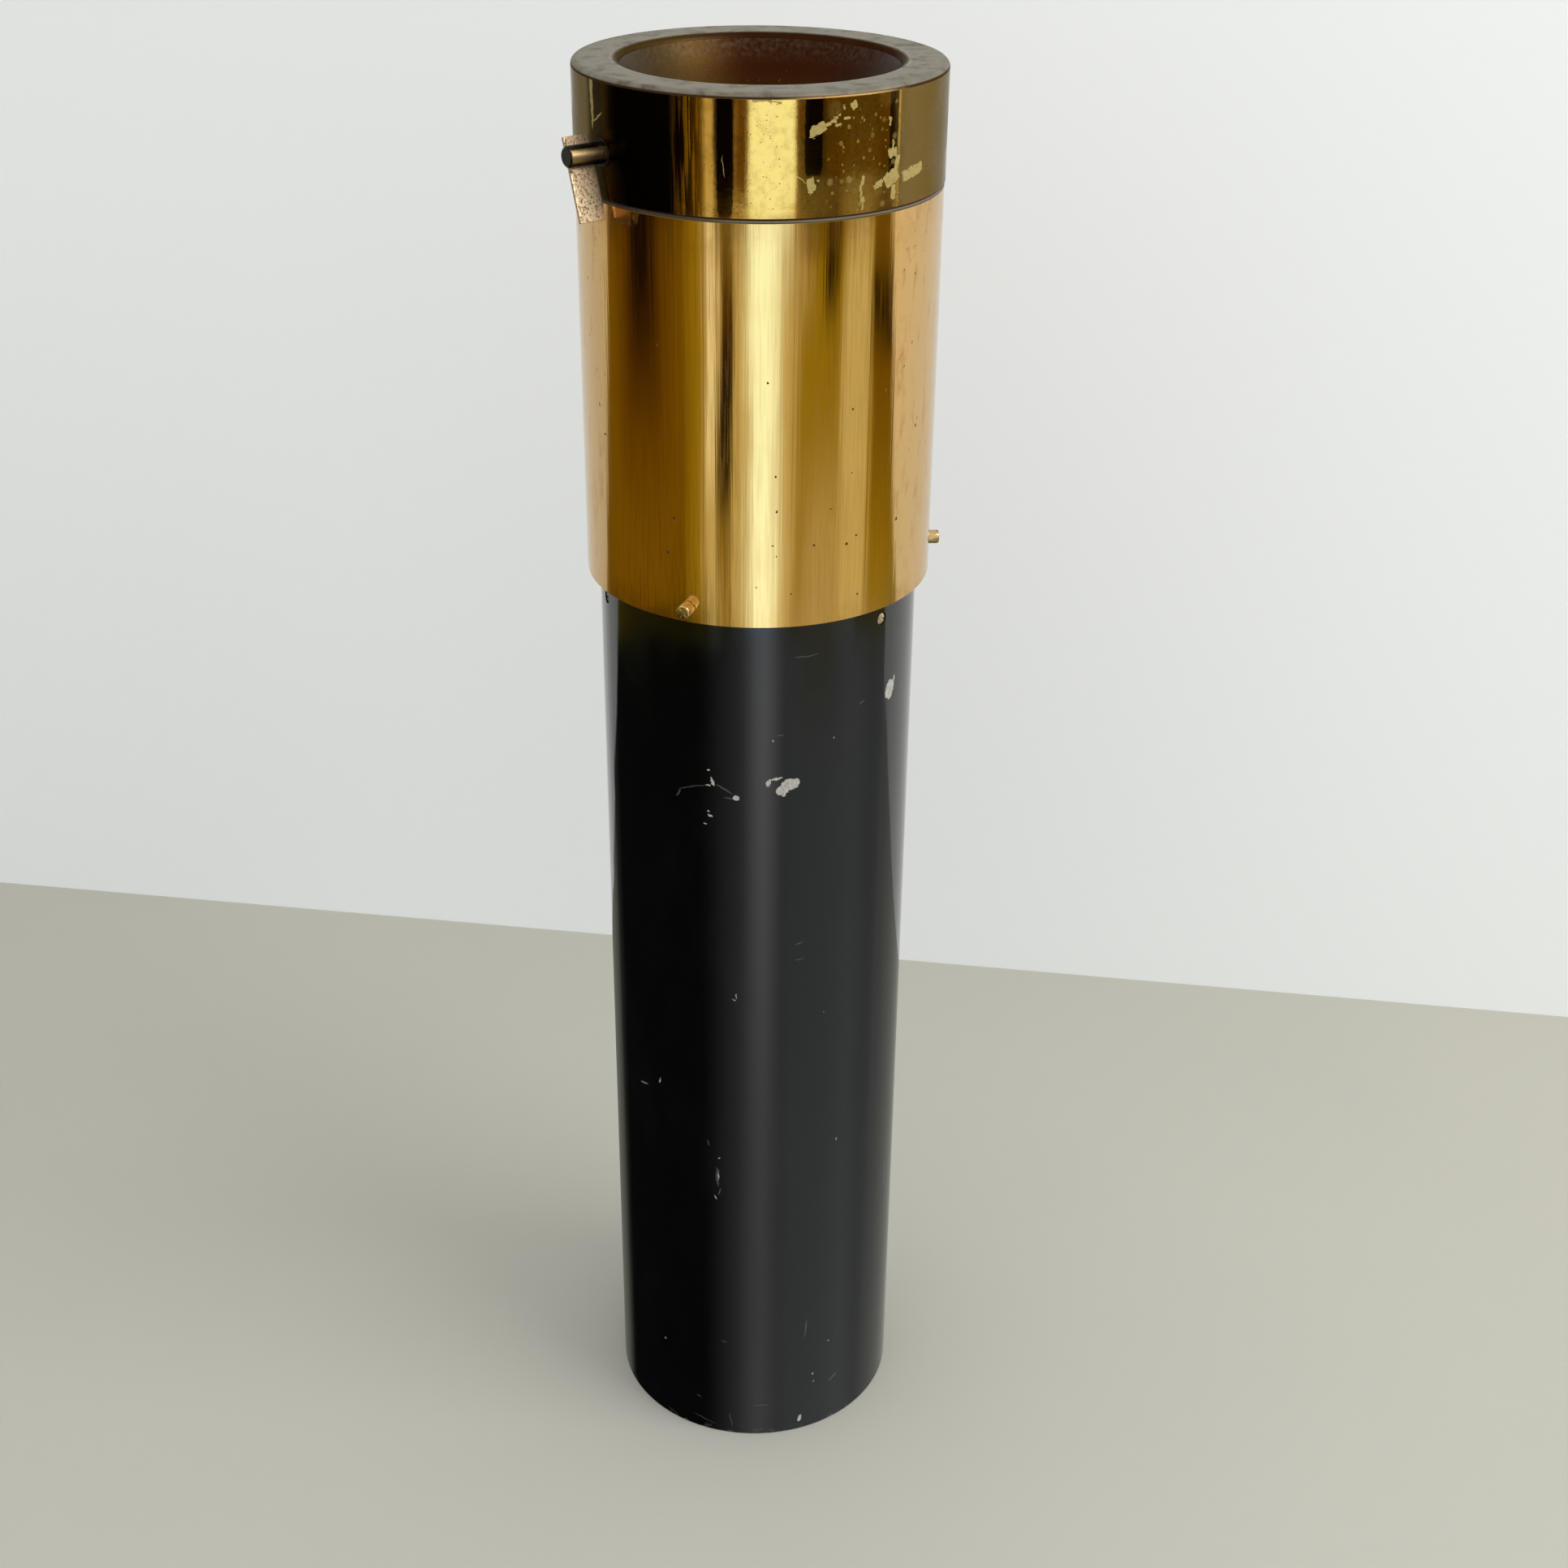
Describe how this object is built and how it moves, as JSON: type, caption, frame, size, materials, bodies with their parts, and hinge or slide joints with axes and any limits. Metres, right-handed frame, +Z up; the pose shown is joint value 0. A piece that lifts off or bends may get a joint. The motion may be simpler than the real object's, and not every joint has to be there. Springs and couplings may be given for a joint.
{
  "type": "standing ashtray",
  "caption": "Floor-standing ashtray: black tube with a lift-out ash pail, under a brass head whose dish is shut by a flap that a side lever tips.",
  "frame": {"origin": "centre of the tube, on the floor", "axes": "+Z up along the tube, -Y towards the front, +X to the right seen from the front"},
  "size_m": [0.1687, 0.1626, 0.72],
  "materials": {
    "black_enamel": "satin enamel, chipped",
    "polished_brass": "polished, aged lacquer",
    "patina_brass": "dark patina, flaked lacquer",
    "dish_brass": "satin brown patina",
    "inner_brass": "dull, soldered",
    "axle_brass": "turned, tarnished",
    "lever_brass": "pitted strip",
    "knob_brass": "plain turned with a screwdriver slot, worn bright",
    "screw_brass": "slotted, worn",
    "pail_sheet": "galvanised sheet",
    "plain_steel": "plain, oiled",
    "ballast_iron": "as cast"
  },
  "bodies": {
    "base": {"outer_tube": "black_enamel", "base_pan": "plain_steel", "ballast_disc": "ballast_iron", "ballast_bolt": "plain_steel", "ballast_washer": "plain_steel", "ballast_nut": "plain_steel", "pail_collar": "plain_steel", "collar_screws": "screw_brass"},
    "pail": {"ash_pail": "pail_sheet", "bail_ears": "pail_sheet", "ear_rivets": "plain_steel"},
    "bail": {"pail_bail": "plain_steel"},
    "head": {"brass_sleeve": "polished_brass", "seat_ring": "inner_brass", "thumbscrew_bosses": "inner_brass", "cap_shell": "patina_brass", "joint_ring": "inner_brass", "dish_funnel": "dish_brass", "axle_bush": "inner_brass", "far_bearing": "inner_brass", "flap_stop": "inner_brass", "stop_rivet": "inner_brass"},
    "flap": {"flap_axle": "axle_brass", "flap_disc": "dish_brass", "flap_weight": "inner_brass", "flap_screws": "screw_brass", "lever_plate": "lever_brass", "axle_collar": "inner_brass", "collar_grub_screw": "plain_steel"},
    "thumbscrew_1": {"thumbscrew_1": "knob_brass"},
    "thumbscrew_2": {"thumbscrew_2": "knob_brass"},
    "thumbscrew_3": {"thumbscrew_3": "knob_brass"}
  },
  "joints": [
    {"name": "head_lift", "type": "slide", "parent": "base", "child": "head", "axis": [0, 0, 1], "range_m": [0, 0.25]},
    {"name": "flap_tilt", "type": "hinge", "parent": "head", "child": "flap", "pos_m": [0, 0, 0.6895], "axis": [-0.809, -0.5878, 0], "range_deg": [0, 70]},
    {"name": "pail_lift", "type": "slide", "parent": "base", "child": "pail", "axis": [0, 0, 1], "range_m": [0, 0.08]},
    {"name": "bail_swing", "type": "hinge", "parent": "pail", "child": "bail", "pos_m": [0, 0, 0.4927], "axis": [1, 0, 0], "range_deg": [0, 180]},
    {"name": "thumbscrew_1_turn", "type": "hinge", "parent": "head", "child": "thumbscrew_1", "pos_m": [0, 0, 0.4965], "axis": [-0.3827, -0.9239, 0], "range_deg": [0, 900]},
    {"name": "thumbscrew_2_turn", "type": "hinge", "parent": "head", "child": "thumbscrew_2", "pos_m": [0, 0, 0.4965], "axis": [0.9903, 0.1392, 0], "range_deg": [0, 900]},
    {"name": "thumbscrew_3_turn", "type": "hinge", "parent": "head", "child": "thumbscrew_3", "pos_m": [0, 0, 0.4965], "axis": [-0.6157, 0.788, 0], "range_deg": [0, 900]}
  ]
}
